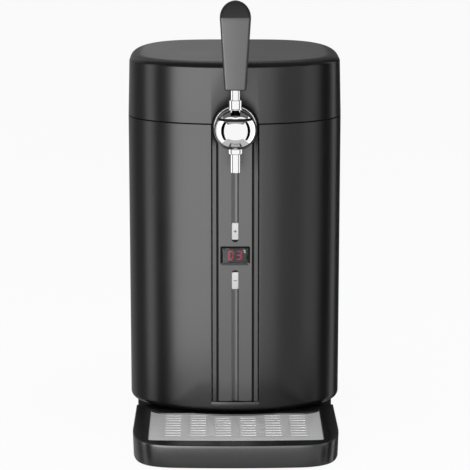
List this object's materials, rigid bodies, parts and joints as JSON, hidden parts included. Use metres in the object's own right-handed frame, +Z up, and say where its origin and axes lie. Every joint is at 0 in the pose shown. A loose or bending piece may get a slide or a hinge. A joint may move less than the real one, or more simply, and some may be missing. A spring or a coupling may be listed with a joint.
{
  "type": "mini keg beer dispenser",
  "caption": "Chilled countertop cabinet for a small beer keg, with a lever tap, a display in a recessed channel, a hinged lid and a drip tray with a steel grille.",
  "frame": {"origin": "on the standing surface, below the middle of the whole depth and on the plane that halves the width", "axes": "+Z up, -Y towards the person who pours, +X to their right"},
  "size_m": [0.275, 0.476, 0.5623],
  "materials": {
    "cabinet_plastic": "satin black moulded plastic, smooth, with soft reflections",
    "grip_plastic": "satin dark grey moulded plastic",
    "dark_plastic": "fine-textured matt black moulded plastic",
    "chrome": "polished chrome plate",
    "stainless": "turned stainless steel",
    "grille_steel": "brushed stainless sheet",
    "plain_steel": "zinc-plated steel",
    "aluminium": "plain mill finish",
    "button_plastic": "soft white moulded plastic",
    "display_window": "polished dark window with dim red digits behind it",
    "rubber": "matt black rubber",
    "foam": "closed-cell insulating foam",
    "circuit_board": "green solder mask",
    "ceramic": "white alumina plates",
    "clear_tube": "translucent food-grade tube"
  },
  "bodies": {
    "cabinet": {"body_shell": "cabinet_plastic", "rear_cover": "dark_plastic", "base_plinth": "dark_plastic", "front_panel": "cabinet_plastic", "deck_ring": "dark_plastic", "power_supply": "plain_steel", "mains_inlet": "dark_plastic", "switch_housing": "dark_plastic", "foot_front_left": "rubber", "foot_front_right": "rubber", "foot_rear_left": "rubber", "foot_rear_right": "rubber", "cover_screw_lower_left": "plain_steel", "cover_screw_upper_left": "plain_steel", "cover_screw_lower_right": "plain_steel", "cover_screw_upper_right": "plain_steel", "display_lens": "display_window", "display_module": "dark_plastic", "control_board": "circuit_board", "cooling_chamber": "aluminium", "chamber_gasket": "rubber", "insulation_jacket": "foam", "temperature_probe": "plain_steel", "cold_plate": "aluminium", "peltier_module": "ceramic", "heat_sink": "aluminium", "fan_frame": "dark_plastic", "tap_ball": "chrome", "tap_bonnet": "chrome", "tap_flange": "chrome", "tap_seal": "rubber", "tap_shank": "stainless", "shank_nut": "plain_steel", "spout": "chrome", "lever_pivot_pin": "plain_steel", "keg_coupler": "dark_plastic", "beer_tube": "clear_tube", "hinge_bracket_left": "dark_plastic", "hinge_bracket_right": "dark_plastic", "hinge_pin_left": "plain_steel", "hinge_pin_right": "plain_steel"},
    "lid": {"lid_shell": "cabinet_plastic", "lid_liner": "dark_plastic", "lid_seal": "rubber", "lid_insulation": "foam", "hinge_leaf_left": "dark_plastic", "hinge_leaf_right": "dark_plastic"},
    "tap_lever": {"lever_hub": "chrome", "lever_grip": "grip_plastic"},
    "tap_valve": {"valve_plunger": "button_plastic"},
    "plus_key": {"plus_button": "button_plastic"},
    "minus_key": {"minus_button": "button_plastic"},
    "tray": {"drip_tray": "cabinet_plastic"},
    "grille": {"drip_grille": "grille_steel"},
    "fan": {"fan_rotor": "dark_plastic"},
    "mains_switch": {"switch_rocker": "dark_plastic"}
  },
  "joints": [
    {"name": "lid_hinge", "type": "hinge", "parent": "cabinet", "child": "lid", "pos_m": [0, 0.2335, 0.4045], "axis": [-1, 0, 0], "range_deg": [0, 95]},
    {"name": "lever_pull", "type": "hinge", "parent": "cabinet", "child": "tap_lever", "pos_m": [0, -0.107, 0.4017], "axis": [1, 0, 0], "range_deg": [0, 30]},
    {"name": "valve_lift", "type": "slide", "parent": "cabinet", "child": "tap_valve", "axis": [0, 0, 1], "range_m": [0, 0.003]},
    {"name": "plus_press", "type": "slide", "parent": "cabinet", "child": "plus_key", "axis": [0, 1, 0], "range_m": [0, 0.0012], "stiffness_N_per_m": 400},
    {"name": "minus_press", "type": "slide", "parent": "cabinet", "child": "minus_key", "axis": [0, 1, 0], "range_m": [0, 0.0012], "stiffness_N_per_m": 400},
    {"name": "tray_slide", "type": "slide", "parent": "cabinet", "child": "tray", "axis": [0, -1, 0], "range_m": [0, 0.2]},
    {"name": "grille_lift", "type": "slide", "parent": "tray", "child": "grille", "axis": [0, 0, 1], "range_m": [0, 0.06]},
    {"name": "fan_spin", "type": "hinge", "parent": "cabinet", "child": "fan", "pos_m": [0, 0.19, 0.235], "axis": [0, 1, 0], "continuous": true},
    {"name": "switch_rock", "type": "hinge", "parent": "cabinet", "child": "mains_switch", "pos_m": [0.045, 0.2223, 0.07], "axis": [1, 0, 0], "range_deg": [0, 16]}
  ],
  "couplings": [
    {"joint": "valve_lift", "follows": "lever_pull", "m_per_rad": 0.0057}
  ]
}
